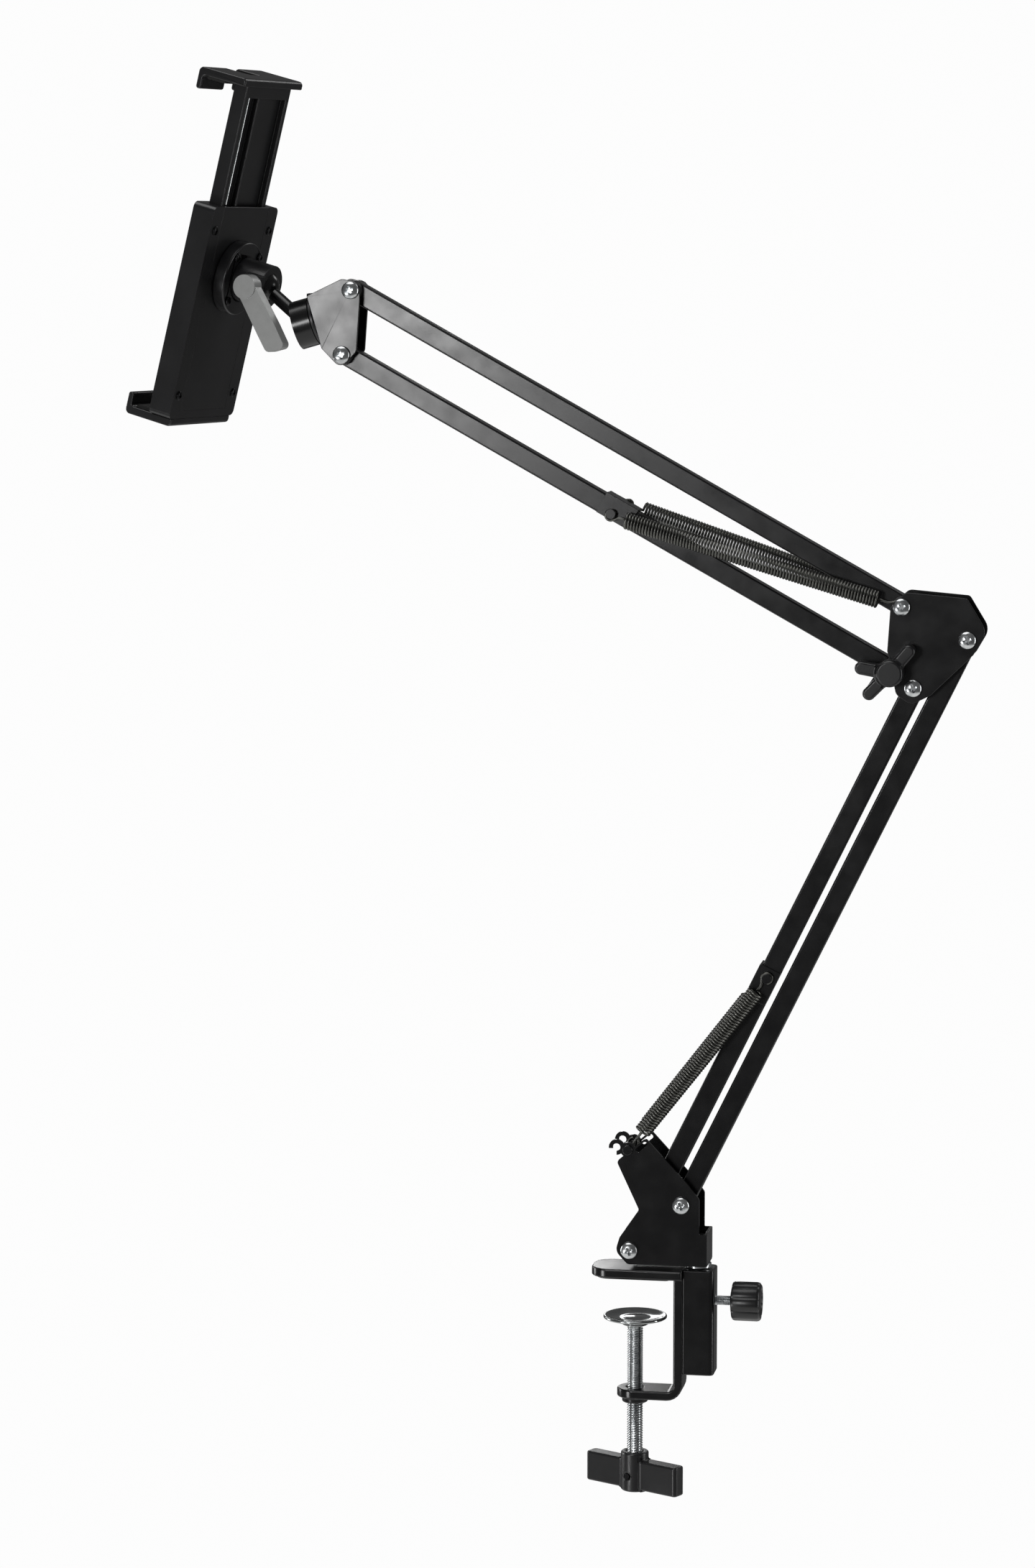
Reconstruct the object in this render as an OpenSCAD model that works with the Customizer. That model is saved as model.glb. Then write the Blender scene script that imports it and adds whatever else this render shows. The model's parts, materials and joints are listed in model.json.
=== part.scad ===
// Desk-clamped, spring-balanced twin-bar arm that carries a sprung tablet holder.
// +Z is up, +X is the side of the desk edge that the clamp spine is on, and the arm works in
// the XZ plane. The origin is on the clamp screw's axis, at the underside of the upper jaw.

/* [Clamp] */
// Distance from the screw axis to the inner face of the spine
throat = 20.4; // [19:0.2:24]
// Clear opening between the jaws
jaw_opening = 57; // [45:1:65]
// Thickness of the steel strip
strip_t = 4.6; // [4:0.2:5]
// Width of the upper jaw
jaw_w = 26; // [22:1:30]
// Distance of the pressure pad below the upper jaw
pad_drop = 20; // [16:1:30]
// Diameter of the pressure pad
pad_d = 32; // [24:1:34]

/* [Lower arm] */
// Length of the lower bars between pivots
lower_len = 316; // [280:1:340]
// Lean of the lower bars from the vertical
lower_lean = 26; // [20:0.5:28]
// Height of the front bar's base pivot
base_pivot_z = 15; // [14.5:0.5:17]

/* [Upper arm] */
// Length of the upper bars between pivots
upper_len = 312; // [280:1:340]
// Rise of the upper bars from the horizontal
upper_rise = 29.2; // [20:0.2:35]

/* [Bars and plates] */
// Side of the square bars
bar_w = 10; // [8:0.5:10]
// Wall of the square bars
bar_wall = 1; // [0.8:0.1:1.5]
// Thickness of the bracket plates
plate_t = 1.5; // [1.2:0.1:2]
// Diameter of the pivot bolts
bolt_d = 5; // [4:0.5:6]
// Outer diameter of the balance springs
spring_d = 8.6; // [7:0.2:9]

/* [Holder] */
// Tilt of the holder from the vertical
holder_tilt = 14.8; // [5:0.2:20]
// Turn of the holder's back towards the front of the arm
holder_turn = 16; // [8:1:20]
// Height of the sleeve
sleeve_h = 108; // [100:1:120]
// Width of the sleeve
sleeve_w = 64; // [58:1:70]
// Thickness of the sleeve
sleeve_t = 12; // [11:0.5:14]
// Clear span between the closed jaws
span = 168; // [160:1:180]

/* [Hidden] */

$fn = 48;
fit = 0.05;              // radial clearance of every running fit
gap = 0.3;               // space between faces that slide past each other
black = "#1c1c1c";
zinc = "#c4c6c6";
grey = "#8c8c88";         // the black coat where it faces the light

// Half widths across the arm, from its middle plane outwards
half_bar = bar_w / 2;
plate_in = 9.25;
plate_out = plate_in + plate_t;
coil_y = 11;             // middle of each wound body
loop_y = 8;              // middle of its end loops, between the plates
head_h = 3;
head_d = 8.6;
nut_h = 4;

// Pivots as [x, z] in the arm's plane
lower_dir = [sin(lower_lean), cos(lower_lean)];
upper_dir = [-cos(upper_rise), sin(upper_rise)];
base_front = [-1.6, base_pivot_z];
base_rear = base_front + [26, 23.8];
elbow_front = base_front + lower_len * lower_dir;
elbow_rear = base_rear + lower_len * lower_dir;
elbow_clamp = elbow_front + [-10.6, 7.9];
elbow_top = elbow_clamp + [4.6, 31.5];
head_bottom = elbow_clamp + upper_len * upper_dir;
head_top = elbow_top + upper_len * upper_dir;

// Springs: where each one hooks on
spring_base = [-2.5, 66];
lower_near_along = 154.5;
lower_far_along = 146;
lower_far_side = 2.7;
upper_near_along = 157.4;
upper_near_side = 2;
upper_far_along = 154;
upper_far_side = -4.6;
stud_d = 3;
rivet_h = 1.4;
wire_d = 1.3;

// Column, post and lock screw
column_x0 = throat + strip_t;
column_w = 15.6;
column_depth = 17;
column_bottom = -48;
post_x = 31.9;
post_d = 8;
lock_z = -11;

// Clamp screw
screw_d = 8;
screw_tip_d = 5;
arm_w = 18;
handle_z = -92;
handle_turn = -28;       // the handle's turn about the screw at rest
pin_d = 3;

// Holder frame: its origin is the ball's centre, local +X points out of the sleeve's back
ball_centre = [-188.6, 6, 492.6];
ball_d = 15;
back_x = -19;            // the sleeve's back face in the holder's frame
sleeve_bottom = -73;
sleeve_top = sleeve_bottom + sleeve_h;
small_screw_d = 2.4;
rail_w = 44;
rail_t = 7.4;
jaw_reach = 12;

// Knuckle: a swivel disc on the head bracket's folded end
web_top = [-163.6, 487.8];
web_bottom = [-156.2, 462.1];
swivel_point = [-160.2, 476];
swivel_tilt = 16;
swivel_d = 24;
swivel_bolt_d = 6;
washer_t = 1.6;

// ---- helpers -------------------------------------------------------------------------------

// A polygon's outline with each corner [x, z, radius] rounded by an arc
function unit(v) = v / norm(v);
function corner_arc(a, b, c, r, n = 6) =
    let (p = unit(a - b), q = unit(c - b), half = acos(p * q) / 2, reach = r / tan(half),
        mid = b + unit(p + q) * r / sin(half), s = b + p * reach - mid, e = b + q * reach - mid,
        a0 = atan2(s[1], s[0]), turn = atan2(s[0] * e[1] - s[1] * e[0], s * e))
    r <= 0 ? [b] : [for (i = [0:n]) mid + r * [cos(a0 + turn * i / n), sin(a0 + turn * i / n)]];
function xy(p) = [p[0], p[1]];
function rounded(pts) = [for (i = [0:len(pts) - 1]) each corner_arc(
    xy(pts[(i + len(pts) - 1) % len(pts)]), xy(pts[i]), xy(pts[(i + 1) % len(pts)]), pts[i][2])];

// Extrudes an outline drawn in the XZ plane from y = y0 to y = y1
module along_y(y0, y1) {
    translate([0, y1, 0]) rotate([90, 0, 0]) linear_extrude(y1 - y0) children();
}

// A round rod or hole along Y at the pivot p
module rod_y(p, d, y0, y1) {
    translate([p[0], y0, p[1]]) rotate([-90, 0, 0]) cylinder(d = d, h = y1 - y0);
}

// A bracket plate pair shares one outline with bores at the given pivots
module plate(pts, bores, y0) {
    difference() {
        along_y(y0, y0 + plate_t) polygon(rounded(pts));
        for (b = bores) rod_y(b, bolt_d, y0 - 1, y0 + plate_t + 1);
    }
}

// Bolt with a low round head on the near side and its shank through both plates
module pivot_bolt(p) {
    rod_y(p, head_d, -plate_out - head_h, -plate_out);
    rod_y(p, bolt_d, -plate_out, plate_out + nut_h + 1.5);
}

module pivot_nut(p) {
    difference() {
        translate([p[0], plate_out, p[1]]) rotate([-90, 0, 0]) cylinder(d = 9.2, h = nut_h, $fn = 6);
        rod_y(p, bolt_d, plate_out - 1, plate_out + nut_h + 1);
    }
}

// Spacer rings on both sides of a bar
module spacers(p, y1 = plate_in, d = 10) {
    for (s = [-1, 1]) difference() {
        rod_y(p, d, s > 0 ? half_bar + gap : -y1, s > 0 ? y1 : -half_bar - gap);
        rod_y(p, bolt_d, -plate_out, plate_out);
    }
}

// Square tube bar from the pivot p, pointing along dir, with solid round ends
module bar(p, dir, length) {
    translate([p[0], 0, p[1]]) rotate([0, -atan2(dir[1], dir[0]), 0]) difference() {
        union() {
            translate([0, -half_bar, -half_bar]) cube([length, bar_w, bar_w]);
            for (x = [0, length]) rod_y([x, 0], bar_w, -half_bar, half_bar);
        }
        translate([half_bar + 2, bar_wall - half_bar, bar_wall - half_bar])
            cube([length - bar_w - 4, bar_w - 2 * bar_wall, bar_w - 2 * bar_wall]);
        for (x = [0, length]) rod_y([x, 0], bolt_d + 2 * fit, -bar_w, bar_w);
    }
}

// Point beside a bar: along it from p, and to its left by side
function beside(p, dir, along, side) = p + along * dir + side * [-dir[1], dir[0]];

// One end loop of a spring and the straight wire that joins it to the wound body
module spring_loop(pin_d, reach) {
    ring_r = pin_d / 2 + 0.4 + wire_d / 2;
    rotate([90, 0, 0]) rotate_extrude() translate([ring_r, 0]) circle(d = wire_d, $fn = 16);
    translate([ring_r, 0, 0]) rotate([0, 90, 0]) cylinder(d = wire_d, h = reach - ring_r + 0.2, $fn = 16);
}

// Extension spring on the side of the arm (near -1, far 1): its wound body between two end loops
module spring(from, to, side, from_pin = stud_d) {
    run = norm(to - from);
    start_hook = 12;
    end_hook = 8;
    coil_l = run - start_hook - end_hook;
    translate([from[0], 0, from[1]]) rotate([0, -atan2(to[1] - from[1], to[0] - from[0]), 0]) {
        translate([start_hook, side * coil_y, 0]) rotate([0, 90, 0]) difference() {
            cylinder(d = spring_d, h = coil_l);
            translate([0, 0, wire_d]) cylinder(d = spring_d - 2 * wire_d, h = coil_l - 2 * wire_d);
        }
        translate([0, side * loop_y, 0]) spring_loop(from_pin, start_hook);
        translate([run, side * loop_y, 0]) rotate([0, 180, 0]) spring_loop(stud_d, end_hook);
    }
}

// Sheet clip that saddles a bar, with one stud on each side for the springs' loops
module spring_clip(p, dir, near_spot, far_spot, side) {
    mid = (near_spot[0] + far_spot[0]) / 2;
    clip_l = 18;
    translate([p[0], 0, p[1]]) rotate([0, -atan2(dir[1], dir[0]), 0]) {
        difference() {
            translate([mid - clip_l / 2, -half_bar - 1.2, side > 0 ? -half_bar : -half_bar - 1.2])
                cube([clip_l, bar_w + 2.4, bar_w + 1.2]);
            translate([mid - clip_l / 2 - 1, -half_bar, -half_bar]) cube([clip_l + 2, bar_w, bar_w]);
        }
        rod_y(near_spot, stud_d, -loop_y - 1, -half_bar - 1.2);
        rod_y(near_spot, stud_d + 2, -loop_y - 2, -loop_y - 0.9);
        rod_y(far_spot, stud_d, half_bar + 1.2, loop_y + 1);
        rod_y(far_spot, stud_d + 2, loop_y + 0.9, loop_y + 2);
    }
}

// Places a shape in the holder's own frame
module in_holder() {
    translate(ball_centre) rotate([0, holder_tilt, -holder_turn]) children();
}

// Places a shape on the swivel: local +X leaves the head bracket
module on_swivel() {
    translate([swivel_point[0], 0, swivel_point[1]]) rotate([0, 180 - swivel_tilt, 0]) children();
}

// Rounded slab in the holder's frame: outline in local YZ, thick along local X
module slab(x0, x1, half_w, z0, z1, r) {
    translate([x0, 0, 0]) rotate([90, 0, 90]) linear_extrude(x1 - x0)
        polygon(rounded([[-half_w, z0, r], [half_w, z0, r], [half_w, z1, r], [-half_w, z1, r]]));
}

// ---- clamp ---------------------------------------------------------------------------------

lower_top = -jaw_opening;
jaw_z0 = 0.8;            // the rubber pad stands this far proud of the jaw
jaw_pad_t = 2;
jaw_nose = 21.5;         // reach of the upper jaw beyond the screw's axis
pad_edge = 2.5;          // border of the jaw round its rubber pad
bush_d = 11;
lock_d = 5;
jaw_top_z = jaw_z0 + strip_t;

module jaw_pad_outline(z0, z1) {
    translate([0, 0, z0]) linear_extrude(z1 - z0) polygon(rounded([
        [pad_edge - jaw_nose, -jaw_w / 2 + pad_edge, 7], [throat - 2, -jaw_w / 2 + pad_edge, 2],
        [throat - 2, jaw_w / 2 - pad_edge, 2], [pad_edge - jaw_nose, jaw_w / 2 - pad_edge, 7]]));
}

module clamp_frame() {
    outer = throat + strip_t;
    color(black) difference() {
        union() {
            // upper jaw, seen from above, with a rounded nose
            translate([0, 0, jaw_z0]) linear_extrude(strip_t) polygon(rounded([
                [-jaw_nose, -jaw_w / 2 + 1, 9], [outer, -jaw_w / 2, 1], [outer, jaw_w / 2, 1],
                [-jaw_nose, jaw_w / 2 - 1, 9]]));
            // spine with its bend into the lower arm
            along_y(-arm_w / 2, arm_w / 2) polygon(rounded([
                [throat, jaw_z0 + 0.1, 0], [outer, jaw_z0 + 0.1, 0], [outer, lower_top - strip_t, 8],
                [0, lower_top - strip_t, 0], [0, lower_top, 0], [throat, lower_top, 3]]));
            translate([0, 0, lower_top - strip_t]) cylinder(d = arm_w, h = strip_t);
            // threaded boss under the lower arm
            translate([0, 0, lower_top - strip_t - 3]) cylinder(d = 13, h = 3.5);
        }
        translate([0, 0, lower_top - 20]) cylinder(d = screw_d + 2 * fit, h = 40);
        jaw_pad_outline(0, jaw_pad_t);
    }
}

module jaw_pad() {
    color(black) jaw_pad_outline(0, jaw_pad_t);
}

module clamp_column() {
    color(black) difference() {
        translate([0, 0, column_bottom]) linear_extrude(jaw_top_z - column_bottom) polygon(rounded([
            [column_x0, -column_depth / 2, 0.6], [column_x0 + column_w, -column_depth / 2, 2.5],
            [column_x0 + column_w, column_depth / 2, 2.5], [column_x0, column_depth / 2, 0.6]]));
        translate([post_x, 0, column_bottom - 1]) cylinder(d = bush_d, h = 70);
        lock_hole();
    }
}

module lock_hole() {
    translate([post_x, 0, lock_z]) rotate([0, 90, 0]) cylinder(d = lock_d + 2 * fit, h = 20);
}

module column_bush() {
    color(black) difference() {
        translate([post_x, 0, column_bottom + 1]) cylinder(d = bush_d, h = jaw_top_z - column_bottom - 1);
        translate([post_x, 0, column_bottom]) cylinder(d = post_d + 2 * fit, h = 70);
        lock_hole();
    }
}

// Dished pressure pad that the screw's end turns in
module pressure_pad() {
    color(zinc) translate([0, 0, -pad_drop - 5]) difference() {
        rotate_extrude() polygon([[0, 0], [7, 0], [7, 1.6], [pad_d / 2 - 1.5, 4.2], [pad_d / 2, 4.2],
            [pad_d / 2, 5], [pad_d / 2 - 2, 5], [7.5, 2.8], [0, 2.8]]);
        translate([0, 0, -1]) cylinder(d = screw_tip_d + 2 * fit, h = 2.5);
    }
}

module clamp_screw() {
    shoulder_z = -pad_drop - 5 - gap;
    color(zinc) {
        translate([0, 0, handle_z - 4]) cylinder(d = screw_d, h = shoulder_z - handle_z + 4);
        translate([0, 0, shoulder_z]) cylinder(d = screw_tip_d, h = 1.5);
    }
}

// T-handle moulded on a hub
module screw_handle() {
    half_l = 28;
    half_w = 4;
    color(black) difference() {
        union() {
            translate([0, 0, handle_z - 18]) cylinder(d = 14, h = 20);
            rotate([0, 0, handle_turn]) translate([0, 0, handle_z - 17]) linear_extrude(15)
                polygon(rounded([[-half_l, -half_w, 2], [half_l, -half_w, 2], [half_l, half_w, 2],
                    [-half_l, half_w, 2]]));
        }
        translate([0, 0, handle_z - 4]) cylinder(d = screw_d, h = 10);
        rotate([0, 0, handle_turn]) rod_y([0, handle_z - 10], pin_d, -10, 10);
    }
}

module handle_pin() {
    color(zinc) rotate([0, 0, handle_turn]) rod_y([0, handle_z - 10], pin_d, -6.9, 6.9);
}

module lock_stud() {
    color(zinc) translate([post_x + post_d / 2 + 0.4, 0, lock_z]) rotate([0, 90, 0])
        cylinder(d = lock_d, h = 20);
}

// Lobed thumb knob of the lock screw
module lock_knob() {
    knob_x = column_x0 + column_w + 8;
    color(black) difference() {
        union() {
            translate([knob_x, 0, lock_z]) rotate([0, 90, 0]) cylinder(d = 16, h = 15);
            for (a = [0:45:315]) translate([knob_x, 7.4 * cos(a), lock_z + 7.4 * sin(a)])
                rotate([0, 90, 0]) cylinder(d = 5, h = 15);
        }
        translate([knob_x - 1, 0, lock_z]) rotate([0, 90, 0]) cylinder(d = lock_d, h = 9.7);
    }
}

// ---- turning base bracket ------------------------------------------------------------------

base_floor = 8;
base_outline = [[-8, 60, 2], [6.5, 72.2, 1.5], [27.5, 49.6, 2], [33.5, 42, 3], [33.5, 24.2, 0.5],
    [37.4, 24.2, 0.5], [37.4, base_floor, 0.5], [-2.5, base_floor, 2], [-8.6, 14.5, 5],
    [-6.5, 21.5, 2], [3.3, 35.8, 2]];

slot_spot = [4.4, 67.6];
slot_l = 7;
slot_w = 2.4;

// Open hook and spring ear at a base plate's upper corner
module spring_ear(y) {
    along_y(y, y + plate_t) {
        translate(spring_base) circle(r = 3.8);
        translate(spring_base + [-5.6, 1.2]) difference() {
            circle(r = 3.9);
            circle(r = 1.9);
            translate([-5, -5]) square([5, 4.4]);
        }
    }
}

module base_bracket() {
    color(black) difference() {
        union() {
            for (y = [-plate_out, plate_in]) {
                plate(base_outline, [base_front, base_rear], y);
                spring_ear(y);
            }
            // folded back web and floor
            translate([37.4 - plate_t, -plate_in - 0.1, base_floor])
                cube([plate_t, 2 * plate_in + 0.2, 24.2 - base_floor]);
            translate([18, -plate_in - 0.1, base_floor]) cube([19.4, 2 * plate_in + 0.2, plate_t]);
        }
        rod_y(spring_base, stud_d, -20, 20);
        along_y(-20, 20) translate(slot_spot) rotate(40) polygon(rounded([
            [-slot_l / 2, -slot_w / 2, 1.1], [slot_l / 2, -slot_w / 2, 1.1],
            [slot_l / 2, slot_w / 2, 1.1], [-slot_l / 2, slot_w / 2, 1.1]]));
        translate([post_x, 0, base_floor - 1]) cylinder(d = post_d, h = 4);
    }
}

// Riveted studs that point inwards, so that the front bar swings through between them
module base_spring_studs() {
    color(zinc) for (s = [0, 1]) mirror([0, s, 0]) {
        rod_y(spring_base, stud_d, loop_y - wire_d - 0.5, plate_out + rivet_h);
        rod_y(spring_base, stud_d + 2, plate_out, plate_out + rivet_h);
    }
}

module base_post() {
    color(zinc) translate([post_x, 0, column_bottom + 4]) cylinder(d = post_d, h = 22 - column_bottom - 4);
}

module base_collar() {
    color(zinc) difference() {
        translate([post_x, 0, jaw_top_z + gap]) cylinder(d = 13, h = base_floor - jaw_top_z - gap);
        translate([post_x, 0, 0]) cylinder(d = post_d, h = 20);
    }
}

module base_bolts() {
    color(zinc) for (p = [base_front, base_rear]) pivot_bolt(p);
}

module base_nuts() {
    color(zinc) for (p = [base_front, base_rear]) pivot_nut(p);
}

module base_spacers() {
    color(black) for (p = [base_front, base_rear]) spacers(p);
}

// ---- lower arm -----------------------------------------------------------------------------

module lower_front_bar() {
    color(black) bar(base_front, lower_dir, lower_len);
}

module lower_rear_bar() {
    color(black) bar(base_rear, lower_dir, lower_len);
}

module lower_spring_clip() {
    color(black) spring_clip(base_front, lower_dir, [lower_near_along, 0],
        [lower_far_along, lower_far_side], 1);
}

module lower_spring_near() {
    color(black) spring(spring_base, beside(base_front, lower_dir, lower_near_along, 0), -1);
}

module lower_spring_far() {
    color(black) spring(spring_base,
        beside(base_front, lower_dir, lower_far_along, lower_far_side), 1);
}

// ---- elbow ---------------------------------------------------------------------------------

// Corners of the elbow plate, measured from the front bar's elbow pivot
elbow_outline = [for (c = [[-11.4, 39.6, 3], [-4.2, 46.6, 4], [25.6, 44, 2.5], [35.4, 27.8, 7],
    [29, 16.6, 3], [8.4, -3.5, 3], [-1, -8.2, 5], [-8.4, -3.2, 4], [-12.8, 18, 1]])
    [elbow_front[0] + c[0], elbow_front[1] + c[1], c[2]]];
elbow_bores = [elbow_front, elbow_rear, elbow_top, elbow_clamp];

module elbow_near_plate() {
    color(black) plate(elbow_outline, elbow_bores, -plate_out);
}

module elbow_far_plate() {
    color(black) plate(elbow_outline, elbow_bores, plate_in);
}

module elbow_bolts() {
    color(zinc) for (p = [elbow_front, elbow_rear, elbow_top]) pivot_bolt(p);
}

module elbow_nuts() {
    color(zinc) for (p = [elbow_front, elbow_rear, elbow_top]) pivot_nut(p);
}

module elbow_spacers() {
    color(black) {
        for (p = [elbow_front, elbow_rear, elbow_clamp]) spacers(p);
        spacers(elbow_top, 6.9);
    }
}

module elbow_clamp_bolt() {
    color(zinc) {
        rod_y(elbow_clamp, bolt_d, -plate_out - 12, plate_out);
        rod_y(elbow_clamp, head_d + 2, plate_out, plate_out + head_h);
    }
}

// Three-lobed hand knob
module elbow_knob() {
    front = -plate_out - gap;
    color(black) difference() {
        union() {
            rod_y(elbow_clamp, 13, front - 13, front);
            for (a = [50, 170, 225]) translate([elbow_clamp[0], front - 11, elbow_clamp[1]])
                rotate([0, -a, 0]) {
                    translate([0, 0, -3.2]) cube([14, 8, 6.4]);
                    rod_y([14, 0], 6.4, 0, 8);
                }
        }
        rod_y(elbow_clamp, bolt_d + 2 * fit, front - 12, front + 1);
    }
}

// ---- upper arm -----------------------------------------------------------------------------

module upper_top_bar() {
    color(grey) bar(elbow_top, upper_dir, upper_len);
}

module upper_bottom_bar() {
    color(grey) bar(elbow_clamp, upper_dir, upper_len);
}

module upper_spring_clip() {
    color(black) spring_clip(elbow_clamp, upper_dir, [upper_near_along, upper_near_side],
        [upper_far_along, upper_far_side], -1);
}

module upper_spring_near() {
    color(black) spring(elbow_top,
        beside(elbow_clamp, upper_dir, upper_near_along, upper_near_side), -1, bolt_d);
}

module upper_spring_far() {
    color(black) spring(elbow_top,
        beside(elbow_clamp, upper_dir, upper_far_along, upper_far_side), 1, bolt_d);
}

// ---- head ----------------------------------------------------------------------------------

head_outline = [[web_top[0], web_top[1], 0.5], [head_top[0] - 4.5, head_top[1] + 5.6, 3],
    [head_top[0] + 4.6, head_top[1] + 4, 4], [head_top[0] + 4.6, head_top[1] - 5, 3],
    [head_bottom[0] + 7.4, head_bottom[1] + 1.5, 3], [head_bottom[0] - 0.5, head_bottom[1] - 7, 4],
    [web_bottom[0], web_bottom[1], 0.5]];

module head_bracket() {
    web = norm(web_top - web_bottom);
    color(grey) difference() {
        union() {
            for (y = [-plate_out, plate_in]) plate(head_outline, [head_top, head_bottom], y);
            on_swivel() translate([-plate_t, -plate_in - 0.1, -web / 2])
                cube([plate_t, 2 * plate_in + 0.2, web]);
        }
        on_swivel() translate([-5, 0, 0]) rotate([0, 90, 0]) cylinder(d = swivel_bolt_d, h = 10);
    }
}

module head_bolts() {
    color(zinc) for (p = [head_top, head_bottom]) pivot_bolt(p);
}

module head_nuts() {
    color(zinc) for (p = [head_top, head_bottom]) pivot_nut(p);
}

module head_spacers() {
    color(black) for (p = [head_top, head_bottom]) spacers(p);
}

module swivel_washer() {
    color(black) on_swivel() difference() {
        rotate([0, 90, 0]) cylinder(d = swivel_d, h = washer_t);
        translate([-1, 0, 0]) rotate([0, 90, 0]) cylinder(d = swivel_bolt_d + 2 * fit, h = 4);
    }
}

module swivel_bolt() {
    color(zinc) on_swivel() {
        translate([-plate_t - 4, 0, 0]) rotate([0, 90, 0]) cylinder(d = 10, h = 4);
        translate([-plate_t, 0, 0]) rotate([0, 90, 0]) cylinder(d = swivel_bolt_d, h = plate_t + 7);
    }
}

// Swivel block with the ball stem, one casting
module knuckle() {
    stem_end = [-171, 0, 478.4];
    stem_d = 6.5;
    stem = stem_end - ball_centre;
    color(black) difference() {
        union() {
            on_swivel() translate([washer_t + gap, 0, 0]) rotate([0, 90, 0]) cylinder(d = swivel_d, h = 9);
            translate(ball_centre) sphere(d = ball_d, $fn = 64);
            translate(ball_centre) rotate([0, acos(stem[2] / norm(stem)), atan2(stem[1], stem[0])])
                cylinder(d = stem_d, h = norm(stem));
        }
        on_swivel() translate([-1, 0, 0]) rotate([0, 90, 0])
            cylinder(d = swivel_bolt_d + 2 * fit, h = 8);
    }
}

// ---- ball socket and lever -----------------------------------------------------------------

flange_d = 26;
flange_t = 3.6;
neck_d = 22;
mouth_x = 3.5;
socket_fit = 0.08;       // radial clearance of the ball in its seat
ring_d = 37;
ring_h = 6.5;
screw_circle = 15.6;
lever_x = 1;
lever_y = 15;            // outer face of the lever's boss
lever_screw_d = 5;
lever_lean = -46;        // degrees from straight out of the back, towards the bottom jaw
lever_t = 6;

// Turned profile [radius, x] with the ball's seat, which closes in again at the mouth
module ball_socket() {
    seat_r = ball_d / 2 + socket_fit;
    mouth_a = asin(mouth_x / seat_r);
    seat_steps = 20;
    seat = [for (i = [0:seat_steps]) let (a = mouth_a - (mouth_a + 90) * i / seat_steps)
        [max(0, seat_r * cos(a)), seat_r * sin(a)]];
    color(black) in_holder() difference() {
        union() {
            rotate([0, 90, 0]) rotate_extrude($fn = 64) polygon(concat(
                [[0, back_x + gap], [flange_d / 2, back_x + gap], [flange_d / 2, back_x + gap + flange_t],
                [neck_d / 2, back_x + gap + flange_t], [neck_d / 2, mouth_x]], seat));
            // boss for the lever's screw
            translate([lever_x - 5, -lever_y, -6]) cube([9, lever_y - 9.5, 12]);
        }
        translate([lever_x, -10, 0]) rotate([90, 0, 0]) cylinder(d = lever_screw_d, h = 12);
    }
}

// Ring screwed to the sleeve; the socket turns in it
module turn_ring() {
    color(black) in_holder() difference() {
        translate([back_x, 0, 0]) rotate([0, 90, 0]) cylinder(d = ring_d, h = ring_h);
        translate([back_x - 1, 0, 0]) rotate([0, 90, 0]) cylinder(d = flange_d + 2 * fit, h = 5.2);
        translate([back_x - 1, 0, 0]) rotate([0, 90, 0]) cylinder(d = neck_d + 2 * fit, h = 12);
        ring_screw_places() cylinder(d = small_screw_d, h = 12);
    }
}

module ring_screw_places() {
    for (a = [45, 135, 225, 315])
        translate([back_x - 1, screw_circle * cos(a), screw_circle * sin(a)]) rotate([0, 90, 0]) children();
}

module ring_screws() {
    color(zinc) in_holder() ring_screw_places() translate([0, 0, 1.2]) {
        cylinder(d = small_screw_d, h = ring_h - 0.2);
        translate([0, 0, ring_h - 0.2]) cylinder(d = 4.4, h = 1.6);
    }
}

// Clamping lever on its screw
module wing_lever() {
    color(grey) in_holder() translate([lever_x, 0, 0]) {
        translate([0, -10.3, 0]) rotate([90, 0, 0]) cylinder(d = lever_screw_d - 2 * fit, h = 7);
        translate([0, -lever_y - gap, 0]) rotate([90, 0, 0]) cylinder(d = 12, h = 7.4);
        translate([0, -lever_y - 0.8, 0]) rotate([90, 0, 0]) rotate([0, 0, lever_lean])
            linear_extrude(lever_t) polygon(rounded([[0, -5, 0], [24, -5.4, 1], [34, -5.4, 3],
                [37, 5, 2.5], [24, 5.4, 1], [0, 5, 0]]));
    }
}

// ---- holder --------------------------------------------------------------------------------

front_x = back_x - sleeve_t;
rail_x1 = back_x - 2.2;
rail_x0 = rail_x1 - rail_t;
rail_bottom = sleeve_top - 41;
jaw_top = sleeve_bottom + span;
cavity_bottom = sleeve_bottom + 4;

// Sleeve: a flat box, open at the top, that the rail slides in
module holder_sleeve() {
    color(black) in_holder() difference() {
        slab(front_x, back_x, sleeve_w / 2, sleeve_bottom, sleeve_top, 3);
        translate([rail_x0 - gap, -rail_w / 2 - gap, cavity_bottom])
            cube([back_x - rail_x0 + gap + 1, rail_w + 2 * gap, sleeve_h]);
        cover_screw_places() cylinder(d = small_screw_d, h = 12);
    }
}

module cover_screw_places() {
    for (s = [-1, 1], z = [sleeve_bottom + 12, sleeve_top - 12])
        translate([back_x - 8, s * (sleeve_w / 2 - 5), z]) rotate([0, 90, 0]) children();
}

// Cover plate that closes the sleeve's back and carries the ball socket
module sleeve_cover() {
    color(black) in_holder() slab(back_x - 1.8, back_x, rail_w / 2 + gap, cavity_bottom, sleeve_top, 0);
}

module cover_screws() {
    color(zinc) in_holder() cover_screw_places() {
        cylinder(d = small_screw_d, h = 8);
        translate([0, 0, 8]) cylinder(d = 4.6, h = 1.2);
    }
}

// Jaw outline in the holder's XZ plane: floor under the tablet's edge and a lip in front of it
module jaw_section(z, up) {
    s = up ? 1 : -1;
    polygon(rounded([[back_x, z, 0.6], [back_x, z + s * 4, 2], [front_x - jaw_reach - 3, z + s * 4, 2.5],
        [front_x - jaw_reach - 3, z - s * 7, 1.2], [front_x - jaw_reach, z - s * 7, 1.2],
        [front_x - jaw_reach, z, 1.5], [front_x, z, 0]]));
}

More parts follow.
